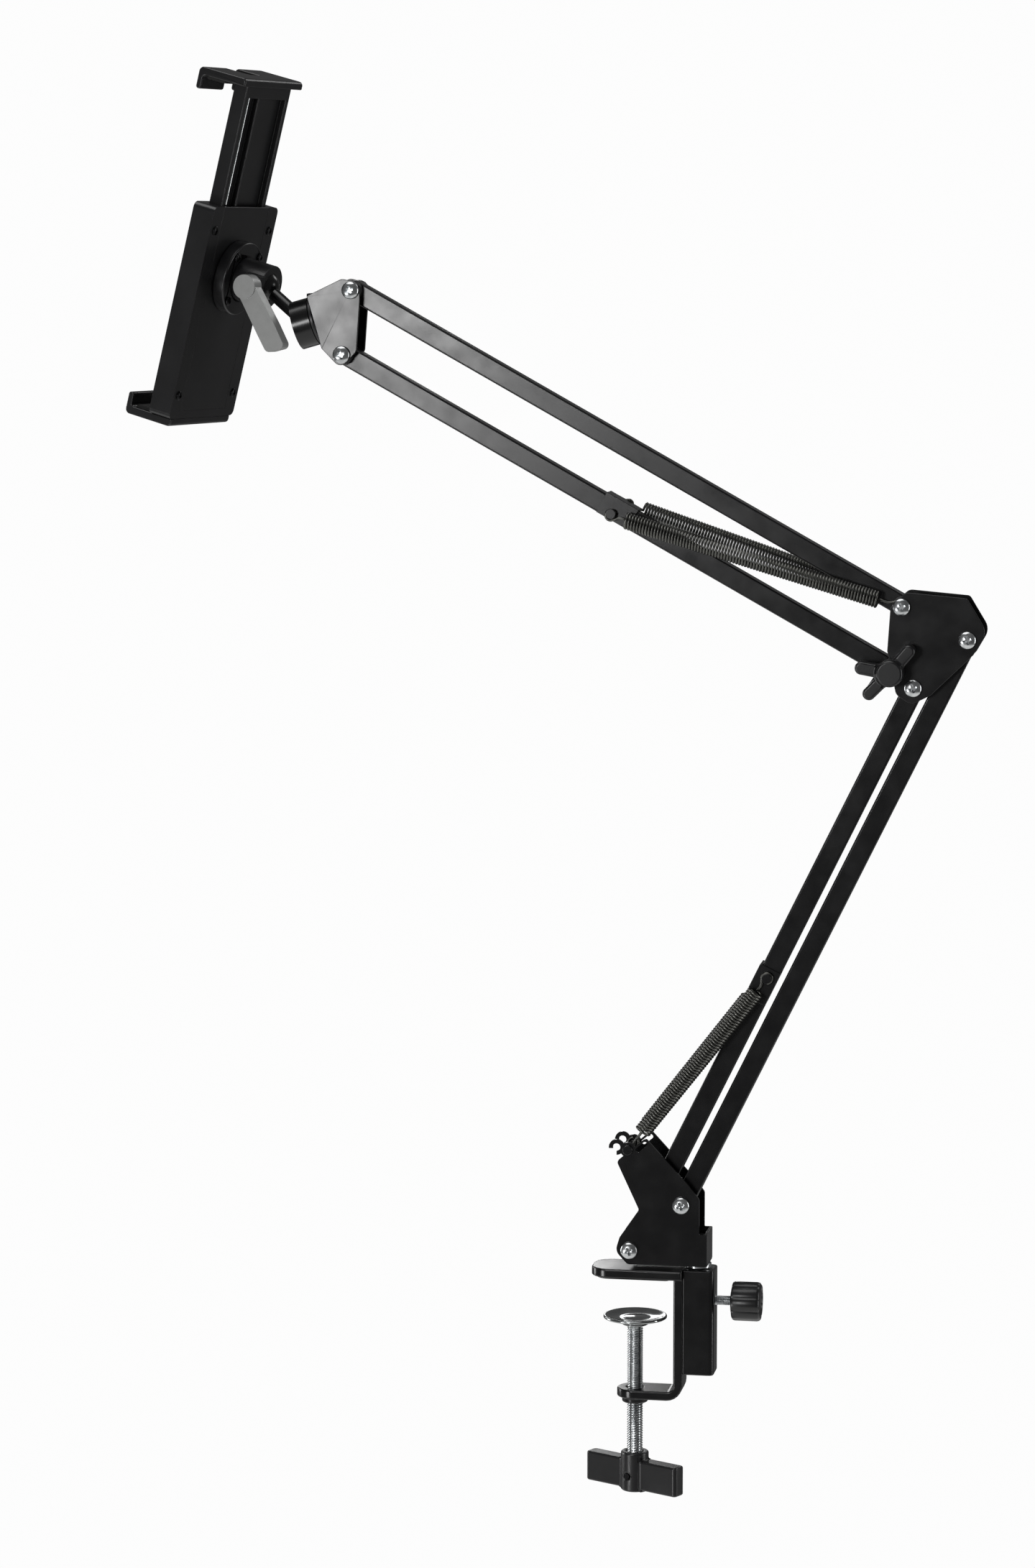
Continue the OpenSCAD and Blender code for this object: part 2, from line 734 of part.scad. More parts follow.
module bottom_jaw() {
    color(black) in_holder() {
        along_y(-sleeve_w / 2 + 3, sleeve_w / 2 - 3) jaw_section(sleeve_bottom, false);
    }
}

module bottom_pad() {
    color(black) in_holder() translate([front_x - jaw_reach + 1.6, -sleeve_w / 2 + 6, sleeve_bottom])
        cube([jaw_reach - 2, sleeve_w - 12, 1.5]);
}

// Rail with raised rims and a long slot, sprung into the sleeve
module slider_rail() {
    color(black) in_holder() difference() {
        translate([rail_x0, -rail_w / 2, rail_bottom]) cube([rail_t, rail_w, jaw_top - rail_bottom]);
        for (y = [[-rail_w / 2 + 3, -8.5], [-6.5, rail_w / 2 - 3]])
            translate([rail_x1 - 3, y[0], rail_bottom + 6])
                cube([4, y[1] - y[0], jaw_top - rail_bottom - 12]);
    }
}

// Bright steel strip let into the floor of the rail's near groove
module guide_strip() {
    strip_w = 1.8;
    strip_t = 2;
    color(zinc) in_holder() translate([rail_x1 - 3, -rail_w / 2 + 5.5, rail_bottom + 6])
        cube([strip_t, strip_w, jaw_top - rail_bottom - 12]);
}

module top_jaw() {
    color(black) in_holder() difference() {
        along_y(-29, 29) jaw_section(jaw_top, true);
        translate([front_x - jaw_reach - 5, -6, jaw_top - 12]) cube([jaw_reach + 5, 12, 20]);
    }
}

module top_pad() {
    color(black) in_holder() for (y = [-27, 8]) translate([front_x - jaw_reach + 1.6, y, jaw_top - 1.5])
        cube([jaw_reach - 2, 19, 1.5]);
}

// Pair of return springs between the sleeve's floor and the rail
module return_springs() {
    color(zinc) in_holder() for (y = [-12, 12]) translate([rail_x1 - rail_t / 2, y, cavity_bottom + 0.2])
        cylinder(d = 5, h = rail_bottom - cavity_bottom - 0.4);
}

clamp_frame();
jaw_pad();
clamp_column();
column_bush();
pressure_pad();
clamp_screw();
screw_handle();
handle_pin();
lock_stud();
lock_knob();
base_bracket();
base_post();
base_collar();
base_spring_studs();
base_bolts();
base_nuts();
base_spacers();
lower_front_bar();
lower_rear_bar();
lower_spring_clip();
lower_spring_near();
lower_spring_far();
elbow_near_plate();
elbow_far_plate();
elbow_bolts();
elbow_nuts();
elbow_spacers();
elbow_clamp_bolt();
elbow_knob();
upper_top_bar();
upper_bottom_bar();
upper_spring_clip();
upper_spring_near();
upper_spring_far();
head_bracket();
head_bolts();
head_nuts();
head_spacers();
swivel_washer();
swivel_bolt();
knuckle();
ball_socket();
turn_ring();
ring_screws();
wing_lever();
holder_sleeve();
sleeve_cover();
cover_screws();
bottom_jaw();
bottom_pad();
slider_rail();
guide_strip();
top_jaw();
top_pad();
return_springs();
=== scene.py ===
import json
import math
import bmesh
import bpy
from mathutils import Matrix, Vector


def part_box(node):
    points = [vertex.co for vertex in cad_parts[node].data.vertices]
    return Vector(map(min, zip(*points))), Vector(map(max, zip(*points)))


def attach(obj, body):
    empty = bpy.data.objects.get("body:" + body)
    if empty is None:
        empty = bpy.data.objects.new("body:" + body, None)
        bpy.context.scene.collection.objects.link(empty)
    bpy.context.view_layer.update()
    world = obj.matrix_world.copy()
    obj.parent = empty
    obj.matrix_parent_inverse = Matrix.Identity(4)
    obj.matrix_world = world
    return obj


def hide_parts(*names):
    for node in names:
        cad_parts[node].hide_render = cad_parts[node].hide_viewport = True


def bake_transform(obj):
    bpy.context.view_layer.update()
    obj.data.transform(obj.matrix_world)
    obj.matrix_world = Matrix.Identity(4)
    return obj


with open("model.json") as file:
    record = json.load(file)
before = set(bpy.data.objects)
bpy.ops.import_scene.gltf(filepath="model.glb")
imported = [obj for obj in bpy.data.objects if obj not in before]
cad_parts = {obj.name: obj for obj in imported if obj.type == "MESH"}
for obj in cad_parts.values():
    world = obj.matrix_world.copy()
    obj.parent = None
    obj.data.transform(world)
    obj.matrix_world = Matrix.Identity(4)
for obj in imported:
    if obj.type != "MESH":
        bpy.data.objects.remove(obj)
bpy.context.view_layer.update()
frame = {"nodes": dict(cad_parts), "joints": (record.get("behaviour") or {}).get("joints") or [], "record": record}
print("stage: frame loaded with", len(frame["nodes"]), "nodes")

mm = 0.001
record = frame["record"]
bodyOf = {node: body for body, members in record["behaviour"]["bodies"].items() for node in members}
jointOf = {joint["name"]: joint for joint in frame["joints"]}


def pivot(joint):
    return Vector(jointOf[joint]["pos_m"])


# ---- surfaces

def linear(hexColour):
    # an sRGB hex colour as the linear values that a socket takes
    parts = [int(hexColour[i:i + 2], 16) / 255 for i in (1, 3, 5)]
    return tuple(c / 12.92 if c <= 0.04045 else ((c + 0.055) / 1.055) ** 2.4 for c in parts) + (1.0,)


def perMetre(sizeMm):
    # how often a pattern of that real size comes in a metre
    return 1000 / sizeMm


def addNode(tree, kind, settings=None, links=None):
    node = tree.nodes.new(kind)
    for name, value in (settings or {}).items():
        if isinstance(name, int) or name in node.inputs:
            node.inputs[name].default_value = value
        else:
            setattr(node, name, value)
    for name, source in (links or {}).items():
        tree.links.new(source, node.inputs[name])
    return node


def newSurface(name, fixed):
    material = bpy.data.materials.new(name)
    material.use_nodes = True
    tree = material.node_tree
    tree.nodes.clear()
    shader = addNode(tree, "ShaderNodeBsdfPrincipled", fixed)
    addNode(tree, "ShaderNodeOutputMaterial", links={"Surface": shader.outputs["BSDF"]})
    where = addNode(tree, "ShaderNodeTexCoord").outputs["Object"]
    return material, tree, shader, where


def patternIn(tree, where, sizeMm, detail):
    return addNode(tree, "ShaderNodeTexNoise", {"Scale": perMetre(sizeMm), "Detail": detail},
                   {"Vector": where})


def mixBy(tree, shader, pattern, first, second):
    # the base colour goes from one to the other where the pattern rises
    colour = addNode(tree, "ShaderNodeMix",
                     {"data_type": "RGBA", 6: linear(first), 7: linear(second)},
                     {0: pattern.outputs[0]})
    tree.links.new(colour.outputs[2], shader.inputs["Base Color"])


def glossBy(tree, shader, pattern, gloss, contrast=(0.0, 1.0)):
    # roughness between two values, by the pattern
    sheen = addNode(tree, "ShaderNodeMapRange",
                    {"From Min": contrast[0], "From Max": contrast[1],
                     "To Min": gloss[0], "To Max": gloss[1]},
                    {"Value": pattern.outputs[0]})
    tree.links.new(sheen.outputs[0], shader.inputs["Roughness"])


def bumpBy(tree, shader, pattern, strength, depthMm):
    bump = addNode(tree, "ShaderNodeBump", {"Strength": strength, "Distance": depthMm * mm},
                   {"Height": pattern.outputs[0]})
    tree.links.new(bump.outputs[0], shader.inputs["Normal"])


powderCoat = {
    # the full coat, and where it runs thin on an edge
    "colour": "#0f0f10", "thin": "#262627",
    "gloss": (0.19, 0.27), "glossContrast": (0.3, 0.7), "cloudMm": 12,
    # real peel is finer, and drawn coarser so that it shows
    "peelMm": 1.5, "peelDepthMm": 0.006, "peelStrength": 0.35,
    "edgeMm": 0.5, "edgeTurn": (0.995, 0.86),
}


def powderCoatedSteel():
    # steel under baked satin powder: near black, an orange peel breaks up what it reflects,
    # and edges are paler
    look = powderCoat
    material, tree, shader, where = newSurface("powderCoatedSteel", {"IOR": 1.5})
    cloud = patternIn(tree, where, look["cloudMm"], 4.0)
    glossBy(tree, shader, cloud, look["gloss"], look["glossContrast"])
    rounded = addNode(tree, "ShaderNodeBevel", {"samples": 4, "Radius": look["edgeMm"] * mm})
    plain = addNode(tree, "ShaderNodeNewGeometry").outputs["Normal"]
    turned = addNode(tree, "ShaderNodeVectorMath", {"operation": "DOT_PRODUCT"},
                     {0: rounded.outputs[0], 1: plain})
    edge = addNode(tree, "ShaderNodeMapRange",
                   {"From Min": look["edgeTurn"][0], "From Max": look["edgeTurn"][1]},
                   {"Value": turned.outputs["Value"]})
    worn = addNode(tree, "ShaderNodeMath", {"operation": "MULTIPLY"},
                   {0: edge.outputs[0], 1: cloud.outputs[0]})
    mixBy(tree, shader, worn, look["colour"], look["thin"])
    peel = patternIn(tree, where, look["peelMm"], 2.0)
    bumpBy(tree, shader, peel, look["peelStrength"], look["peelDepthMm"])
    return material


zincPlate = {
    "bright": "#dcdedf", "dull": "#b9bcbe", "patchContrast": (0.35, 0.65),
    "gloss": (0.18, 0.30), "mottleMm": 2.5,
    # the real drawing lines are finer still
    "brushMm": 0.5, "brushDepthMm": 0.004, "brushStrength": 0.4,
}


def zincPlatedSteel():
    # turned steel with bright zinc: a blue-white metal, patchy where the bath took unevenly
    look = zincPlate
    material, tree, shader, where = newSurface("zincPlatedSteel", {"Metallic": 1.0})
    mottle = patternIn(tree, where, look["mottleMm"], 5.0)
    patch = addNode(tree, "ShaderNodeMapRange",
                    {"From Min": look["patchContrast"][0], "From Max": look["patchContrast"][1]},
                    {"Value": mottle.outputs[0]})
    mixBy(tree, shader, patch, look["bright"], look["dull"])
    glossBy(tree, shader, mottle, look["gloss"])
    brush = patternIn(tree, where, look["brushMm"], 1.0)
    bumpBy(tree, shader, brush, look["brushStrength"], look["brushDepthMm"])
    return material


nickelPlate = {"colour": "#c9cbcb", "smear": "#8f9293", "gloss": (0.08, 0.20), "smearMm": 7,
               "smearWarp": 0.6}


def nickelPlatedSteel():
    # pressed and polished plate: close to a mirror, dulled in smears by handling
    look = nickelPlate
    material, tree, shader, where = newSurface("nickelPlatedSteel", {"Metallic": 1.0})
    smear = patternIn(tree, where, look["smearMm"], 3.0)
    smear.inputs["Distortion"].default_value = look["smearWarp"]
    mixBy(tree, shader, smear, look["colour"], look["smear"])
    glossBy(tree, shader, smear, look["gloss"])
    return material


absLook = {
    "colour": "#0f0f10", "rubbed": "#18181a",
    "gloss": (0.27, 0.37), "rubMm": 18,
    # spark grain is about 0.3 mm, and drawn coarser so that it shows
    "grainMm": 0.9, "grainDepthMm": 0.018, "grainStrength": 0.5,
}


def mouldedAbs(name="mouldedAbs", look=absLook):
    # injection-moulded ABS from a spark-eroded tool: satin black with a fine even grain
    material, tree, shader, where = newSurface(name, {"IOR": 1.54})
    rub = patternIn(tree, where, look["rubMm"], 3.0)
    mixBy(tree, shader, rub, look["colour"], look["rubbed"])
    glossBy(tree, shader, rub, look["gloss"])
    grain = addNode(tree, "ShaderNodeTexVoronoi",
                    {"Scale": perMetre(look["grainMm"]), "feature": "SMOOTH_F1"},
                    {"Vector": where})
    bumpBy(tree, shader, grain, look["grainStrength"], look["grainDepthMm"])
    return material


nylonLook = {
    "colour": "#151516", "rubbed": "#202022",
    "gloss": (0.28, 0.38), "rubMm": 6,
    "grainMm": 0.6, "grainDepthMm": 0.006, "grainStrength": 0.5,
}


def mouldedNylon():
    # smooth nylon bushes and rings: a waxy black, glossier than the ABS
    return mouldedAbs("mouldedNylon", nylonLook)


rubberLook = {"colour": "#1b1b1b", "bloom": "#2b2b2a", "bloomMm": 5,
              "pitMm": 0.7, "pitDepthMm": 0.03, "pitStrength": 0.6}


def mouldedRubber():
    # soft EPDM: a deep matt black with a faint grey bloom and tiny pits
    look = rubberLook
    material, tree, shader, where = newSurface("mouldedRubber", {"IOR": 1.52, "Roughness": 0.85})
    bloom = patternIn(tree, where, look["bloomMm"], 4.0)
    mixBy(tree, shader, bloom, look["colour"], look["bloom"])
    pits = patternIn(tree, where, look["pitMm"], 1.0)
    bumpBy(tree, shader, pits, look["pitStrength"], look["pitDepthMm"])
    return material


wireLook = {"colour": "#757571", "oiled": "#4b4b48", "gloss": (0.24, 0.40), "oilMm": 3}
screwLook = {"colour": "#303031", "oiled": "#1c1c1d", "gloss": (0.30, 0.42), "oilMm": 2}


def blackOxideSteel(name, look):
    # steel blackened in hot salts and oiled: dark metal whose round edges glint
    material, tree, shader, where = newSurface(name, {"Metallic": 1.0})
    oil = patternIn(tree, where, look["oilMm"], 3.0)
    mixBy(tree, shader, oil, look["colour"], look["oiled"])
    glossBy(tree, shader, oil, look["gloss"])
    return material


# the wing lever's pale grey is a painted reflection, a colour standing in for the light it catches
leverPaintedReflectionLook = {"colour": "#b2b3b2", "dark": "#9a9b9a", "gloss": (0.38, 0.50), "cloudMm": 4,
            "skinMm": 1.1, "skinDepthMm": 0.012, "skinStrength": 0.5}


def leverPaintedReflection():
    # die-cast zinc, given an even mid-grey as a painted reflection: the colour stands in for the light the lever
    # catches and is raised to make up for the shade the lamps leave it in, with a soft metallic glow
    look = leverPaintedReflectionLook
    material, tree, shader, where = newSurface("leverPaintedReflection", {"Metallic": 0.55})
    cloud = patternIn(tree, where, look["cloudMm"], 4.0)
    mixBy(tree, shader, cloud, look["colour"], look["dark"])
    glossBy(tree, shader, cloud, look["gloss"])
    skin = patternIn(tree, where, look["skinMm"], 2.0)
    bumpBy(tree, shader, skin, look["skinStrength"], look["skinDepthMm"])
    return material


powder = powderCoatedSteel()
zinc = zincPlatedSteel()
nickel = nickelPlatedSteel()
blackAbs = mouldedAbs()
nylon = mouldedNylon()
rubber = mouldedRubber()
wire = blackOxideSteel("blackOxideSpringWire", wireLook)
blackScrew = blackOxideSteel("blackOxideScrew", screwLook)
leverPaintedReflectionSurface = leverPaintedReflection()
print("stage: surfaces made")


# ---- mesh helpers

def axisPlace(point, along):
    # a matrix whose Z axis runs along a direction from a point
    return Matrix.Translation(point) @ Vector(along).to_track_quat("Z", "Y").to_matrix().to_4x4()


def arc(centreR, centreZ, radius, fromDeg, toDeg, steps=6):
    # points of a round stretch in a turned profile
    angles = [math.radians(fromDeg + (toDeg - fromDeg) * i / steps) for i in range(steps + 1)]
    return [(centreR + radius * math.cos(a), centreZ + radius * math.sin(a)) for a in angles]


def lathe(work, profile, place, steps=48, lobes=None):
    # turns [radius, height] points about the matrix's Z axis
    # lobes gives a share of the radius at an angle
    rings = []
    for radius, height in profile:
        if radius < 1e-7:
            rings.append([work.verts.new(place @ Vector((0, 0, height)))])
            continue
        ring = []
        for k in range(steps):
            a = 2 * math.pi * k / steps
            r = radius * (lobes(a) if lobes else 1)
            ring.append(work.verts.new(place @ Vector((r * math.cos(a), r * math.sin(a), height))))
        rings.append(ring)
    for below, above in zip(rings, rings[1:]):
        for k in range(steps):
            n = (k + 1) % steps
            corners = list(dict.fromkeys([below[k % len(below)], below[n % len(below)],
                                          above[n % len(above)], above[k % len(above)]]))
            if len(corners) > 2:
                work.faces.new(corners)


def closeAlong(work, rings):
    # joins equal rings of points in a row, and caps the first and the last
    for below, above in zip(rings, rings[1:]):
        for k in range(len(below)):
            n = (k + 1) % len(below)
            work.faces.new([below[k], below[n], above[n], above[k]])
    work.faces.new(rings[0][::-1])
    work.faces.new(rings[-1])


def pipe(work, path, radius, sides=10):
    # sweeps a round wire along a path and closes both ends
    normal = (path[1] - path[0]).orthogonal().normalized()
    rings = []
    for i, point in enumerate(path):
        ahead = (path[min(i + 1, len(path) - 1)] - path[max(i - 1, 0)]).normalized()
        normal = (normal - ahead * normal.dot(ahead)).normalized()
        across = ahead.cross(normal)
        turns = [2 * math.pi * k / sides for k in range(sides)]
        rings.append([work.verts.new(point + radius * (normal * math.cos(a) + across * math.sin(a)))
                      for a in turns])
    closeAlong(work, rings)


def threadedRod(work, place, length, radius, pitch, depth, steps=36):
    # a right-hand thread whose ends run out to a chamfer
    perPitch = 8
    count = int(length / pitch * perPitch)
    rings = []
    for i in range(count + 1):
        z = length * i / count
        runOut = min(1, min(z, length - z) / pitch)
        ring = []
        for k in range(steps):
            a = 2 * math.pi * k / steps
            phase = (z / pitch - k / steps) % 1
            crest = abs(2 * phase - 1)
            r = radius - depth * (1 - crest) - (1 - runOut) * depth * crest
            ring.append(work.verts.new(place @ Vector((r * math.cos(a), r * math.sin(a), z))))
        rings.append(ring)
    closeAlong(work, rings)


def cleanCopy(node):
    # the CAD node's mesh with its seams joined and its flat faces made whole
    work = bmesh.new()
    work.from_mesh(frame["nodes"][node].data)
    bmesh.ops.remove_doubles(work, verts=work.verts, dist=0.002 * mm)
    bmesh.ops.dissolve_limit(work, angle_limit=math.radians(1), verts=work.verts, edges=work.edges)
    return work


def looseBoxes(node, into=None):
    # lowest and highest corner of each separate solid of a CAD node, in other axes if given
    work = cleanCopy(node)
    if into is not None:
        work.transform(into)
    left = set(work.verts)
    boxes = []
    while left:
        stack = [left.pop()]
        found = []
        while stack:
            vert = stack.pop()
            found.append(vert.co.copy())
            for edge in vert.link_edges:
                other = edge.other_vert(vert)
                if other in left:
                    left.discard(other)
                    stack.append(other)
        boxes.append((Vector([min(p[i] for p in found) for i in range(3)]),
                      Vector([max(p[i] for p in found) for i in range(3)])))
    work.free()
    return sorted(boxes, key=lambda box: tuple(box[0]))


def newPiece(work, name, nodes, surface, bevelMm=0.0, segments=3, ride=True, sharpDeg=35,
             clamped=False):
    # makes the piece, softens its edges, and lets it ride in place of its CAD nodes
    bmesh.ops.recalc_face_normals(work, faces=work.faces)
    mesh = bpy.data.meshes.new(name)
    work.to_mesh(mesh)
    work.free()
    mesh.polygons.foreach_set("use_smooth", [True] * len(mesh.polygons))
    mesh.materials.append(surface)
    piece = bpy.data.objects.new(name, mesh)
    bpy.context.scene.collection.objects.link(piece)
    if bevelMm:
        bevel = piece.modifiers.new("softEdges", "BEVEL")
        bevel.width = bevelMm * mm
        bevel.segments = segments
        bevel.limit_method = "ANGLE"
        bevel.angle_limit = math.radians(sharpDeg)
        bevel.use_clamp_overlap = clamped
        bevel.miter_outer = "MITER_ARC"
        weighted = piece.modifiers.new("evenShading", "WEIGHTED_NORMAL")
        weighted.weight = 60
    else:
        mesh.set_sharp_from_angle(angle=math.radians(sharpDeg))
    if ride:
        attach(piece, bodyOf[nodes[0]])
    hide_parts(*nodes)
    return piece


def softened(node, surface, bevelMm, segments=3, clamped=False):
    # the CAD shape with its edges rounded as the real process leaves them
    return newPiece(cleanCopy(node), "soft_" + node, [node], surface, bevelMm, segments,
                    clamped=clamped)


def evaluated(piece):
    # the piece's mesh with its modifiers applied, and the piece removed
    graph = bpy.context.evaluated_depsgraph_get()
    mesh = bpy.data.meshes.new_from_object(piece.evaluated_get(graph))
    bpy.data.objects.remove(piece)
    return mesh


def looseObject(work):
    mesh = bpy.data.meshes.new("loose")
    bmesh.ops.recalc_face_normals(work, faces=work.faces)
    work.to_mesh(mesh)
    work.free()
    thing = bpy.data.objects.new("loose", mesh)
    bpy.context.scene.collection.objects.link(thing)
    return thing


crossHead = {"recessShare": 0.56, "slotShare": 0.17, "depthShare": 0.62, "edgeShare": 0.35,
             "taper": 0.55, "turnDeg": 20}


def makeCrossHead():
    # a pan head of radius 1 and height 1 with a cross recess, to be scaled to each screw
    look = crossHead
    work = bmesh.new()
    edge = look["edgeShare"]
    dome = [(math.cos(a), edge + (1 - edge) * math.sin(a))
            for a in [math.radians(90 * i / 8) for i in range(8)]]
    lathe(work, [(0, 0), (1, 0)] + dome + [(0, 1)], Matrix.Identity(4), 48)
    head = looseObject(work)
    cutters = []
    for turn in (0, 90):
        cut = bmesh.new()
        bmesh.ops.create_cube(cut, size=2)
        for vert in cut.verts:
            narrow = 1 if vert.co.z > 0 else look["taper"]
            vert.co.x *= look["recessShare"] * narrow
            vert.co.y *= look["slotShare"] * narrow
            vert.co.z = 1.1 if vert.co.z > 0 else 1 - look["depthShare"]
        cut.transform(Matrix.Rotation(math.radians(turn + look["turnDeg"]), 4, "Z"))
        cutters.append(looseObject(cut))
        boolean = head.modifiers.new("recess", "BOOLEAN")
        boolean.object = cutters[-1]
        boolean.operation = "DIFFERENCE"
    mesh = evaluated(head)
    for cutter in cutters:
        bpy.data.objects.remove(cutter)
    return mesh


headMesh = makeCrossHead()


def addCrossHead(work, place, radius, height):
    before = len(work.verts)
    work.from_mesh(headMesh)
    work.verts.ensure_lookup_table()
    scale = Matrix.Diagonal((radius, radius, height, 1))
    for vert in work.verts[before:]:
        vert.co = place @ (scale @ vert.co)


# ---- clamp

clampLook = {"stripEdgeMm": 0.9, "columnEdgeMm": 0.7, "padEdgeMm": 0.35, "handleEdgeMm": 1.0,
             "pinEdgeMm": 0.3, "bushEdgeMm": 0.3}
clampScrew = {"pitchMm": 1.25, "threadMm": 0.62, "tipMm": 1.5, "tipRadiusMm": 2.5,
              "tipEndRadiusMm": 2.1}


def makeClampScrew():
    low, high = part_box("clamp_screw")
    radius = (high.x - low.x) / 2
    tip = clampScrew["tipMm"] * mm
    work = bmesh.new()
    threadedRod(work, Matrix.Translation((0, 0, low.z)), high.z - low.z - tip, radius,
                clampScrew["pitchMm"] * mm, clampScrew["threadMm"] * mm, 40)
    neck = clampScrew["tipRadiusMm"] * mm
    end = clampScrew["tipEndRadiusMm"] * mm
    lathe(work, [(0, 0), (neck, 0), (neck, tip * 0.8), (end, tip), (0, tip)],
          Matrix.Translation((0, 0, high.z - tip)), 32)
    newPiece(work, "threaded_clamp_screw", ["clamp_screw"], zinc)


pressurePad = {"hubMm": 6.5, "dishMm": 0.9, "rimMm": 0.8, "tipHoleMm": 2.55, "tipHoleDeepMm": 1.6}


def makePressurePad():
    # pressed dish with a rolled rim and a hub that the screw's tip is riveted into
    low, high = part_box("pressure_pad")
    edge = (high.x - low.x) / 2
    tall = high.z - low.z
    hub = pressurePad["hubMm"] * mm
    rim = pressurePad["rimMm"] * mm
    dish = pressurePad["dishMm"] * mm
    tipHole = pressurePad["tipHoleMm"] * mm
    tipTop = pressurePad["tipHoleDeepMm"] * mm
    profile = [(tipHole, 0), (hub - 0.4 * mm, 0)] + arc(hub - 0.4 * mm, 0.4 * mm, 0.4 * mm, -90, 0)
    profile += [(hub, 1.2 * mm)] + arc(hub + 1.2 * mm, 1.2 * mm, 1.2 * mm, 180, 115, 4)
    profile += [(edge - 2.2 * mm, tall - rim * 1.6)] + arc(edge - rim, tall - rim, rim, -60, 90, 8)
    profile += [(edge - 2.0 * mm, tall - 0.25 * mm), (edge - 3.2 * mm, tall - dish)]
    profile += [(hub + 1.5 * mm, tall - dish - 0.35 * mm),
                (hub - 0.5 * mm, tall - dish - 0.35 * mm)]
    profile += [(hub - 1.3 * mm, tall - dish - 0.05 * mm), (0, tall - dish)]
    work = bmesh.new()
    lathe(work, profile + [(0, tipTop), (tipHole, tipTop), (tipHole, 0)],
          Matrix.Translation((0, 0, low.z)), 96)
    bmesh.ops.remove_doubles(work, verts=work.verts, dist=0.001 * mm)
    newPiece(work, "dished_pressure_pad", ["pressure_pad"], nickel, sharpDeg=50)


lockKnob = {"flutes": 8, "fluteShare": 0.075, "chamferMm": 1.1, "boreMm": 2.6, "boreDeepMm": 8.8}
lockStud = {"pitchMm": 0.8, "threadMm": 0.38}


def makeLockKnob():
    # fluted thumb knob, its flutes running out into chamfered ends
    low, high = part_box("lock_knob")
    centre = (low + high) / 2
    radius = (high.z - low.z) / 2
    length = high.x - low.x
    cut = lockKnob["chamferMm"] * mm
    share = lockKnob["fluteShare"]
    count = lockKnob["flutes"]

    def lobes(a):
        return 1 - share * (1 - abs(math.cos(count * a / 2)) ** 0.6)

    bore = lockKnob["boreMm"] * mm
    deep = lockKnob["boreDeepMm"] * mm
    profile = [(0, deep), (bore, deep), (bore, 0), (radius * 0.62, 0), (radius * 0.66, 0.5 * mm)]
    profile += [(radius - cut, 0.5 * mm), (radius - cut * 0.3, cut * 0.8), (radius, cut * 1.6)]
    profile += [(radius, length - cut * 1.8), (radius - cut * 0.3, length - cut * 0.7)]
    profile += [(radius - cut, length - 0.2 * mm), (radius * 0.72, length)]
    profile += [(radius * 0.66, length - 0.6 * mm), (0, length - 0.6 * mm)]
    work = bmesh.new()
    lathe(work, profile, axisPlace((low.x, centre.y, centre.z), (1, 0, 0)), 96, lobes)
    newPiece(work, "fluted_lock_knob", ["lock_knob"], blackAbs, sharpDeg=40)


def makeLockStud():
    low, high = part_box("lock_stud")
    centre = (low + high) / 2
    work = bmesh.new()
    threadedRod(work, axisPlace((low.x, centre.y, centre.z), (1, 0, 0)), high.x - low.x,
                (high.z - low.z) / 2, lockStud["pitchMm"] * mm, lockStud["threadMm"] * mm, 28)
    newPiece(work, "threaded_lock_stud", ["lock_stud"], zinc)


def makeClamp():
    softened("clamp_frame", powder, clampLook["stripEdgeMm"], 4)
    softened("clamp_column", powder, clampLook["columnEdgeMm"])
    softened("jaw_pad", rubber, clampLook["padEdgeMm"])
    softened("screw_handle", blackAbs, clampLook["handleEdgeMm"], 4)
    softened("handle_pin", blackScrew, clampLook["pinEdgeMm"])
    softened("column_bush", nylon, clampLook["bushEdgeMm"])
    makeClampScrew()
    makePressurePad()
    makeLockKnob()
    makeLockStud()
    print("stage: clamp")


# ---- pivot bolts, nuts and rings, shared by the base, the elbow and the head

fastener = {"shankMm": 2.5, "headMm": 3.0, "pitchMm": 0.8, "threadMm": 0.4, "threadLengthMm": 8,
            "nutEdgeMm": 0.45, "ringEdgeMm": 0.3}


def makePivotBolts(node):
    work = bmesh.new()
    shank = fastener["shankMm"] * mm
    tall = fastener["headMm"] * mm
    tail = fastener["threadLengthMm"] * mm
    for low, high in looseBoxes(node):
        centre = (low + high) / 2
        start = Vector((centre.x, low.y + tall, centre.z))
        addCrossHead(work, axisPlace(start, (0, -1, 0)), (high.x - low.x) / 2, tall)
        length = high.y - start.y
        lathe(work, [(0, 0), (shank, 0), (shank, length - tail), (0, length - tail)],
              axisPlace(start, (0, 1, 0)), 32)
        threadedRod(work, axisPlace(start + Vector((0, length - tail, 0)), (0, 1, 0)), tail, shank,
                    fastener["pitchMm"] * mm, fastener["threadMm"] * mm, 28)
    newPiece(work, "cross_head_" + node, [node], zinc, sharpDeg=40)


def makeFasteners():
    for place in ("base", "elbow", "head"):
        makePivotBolts(place + "_bolts")
        softened(place + "_nuts", zinc, fastener["nutEdgeMm"], 2)
        softened(place + "_spacers", nylon, fastener["ringEdgeMm"], 2)
    print("stage: pivot bolts")


# ---- base bracket and lower arm

plateLook = {"edgeMm": 0.32, "barEdgeMm": 0.9, "clipEdgeMm": 0.25, "postEdgeMm": 0.6,
             "studEdgeMm": 0.4}


def makeBaseAndBars():
    softened("base_bracket", powder, plateLook["edgeMm"], clamped=True)
    softened("base_post", zinc, plateLook["postEdgeMm"])
    softened("base_collar", zinc, plateLook["studEdgeMm"])
    softened("base_spring_studs", powder, plateLook["studEdgeMm"])
    for bar in ("lower_front_bar", "lower_rear_bar", "upper_top_bar", "upper_bottom_bar"):
        softened(bar, powder, plateLook["barEdgeMm"], 4)
    for clip in ("lower_spring_clip", "upper_spring_clip"):
        softened(clip, powder, plateLook["clipEdgeMm"])
    print("stage: base bracket and bars")


# ---- balance springs

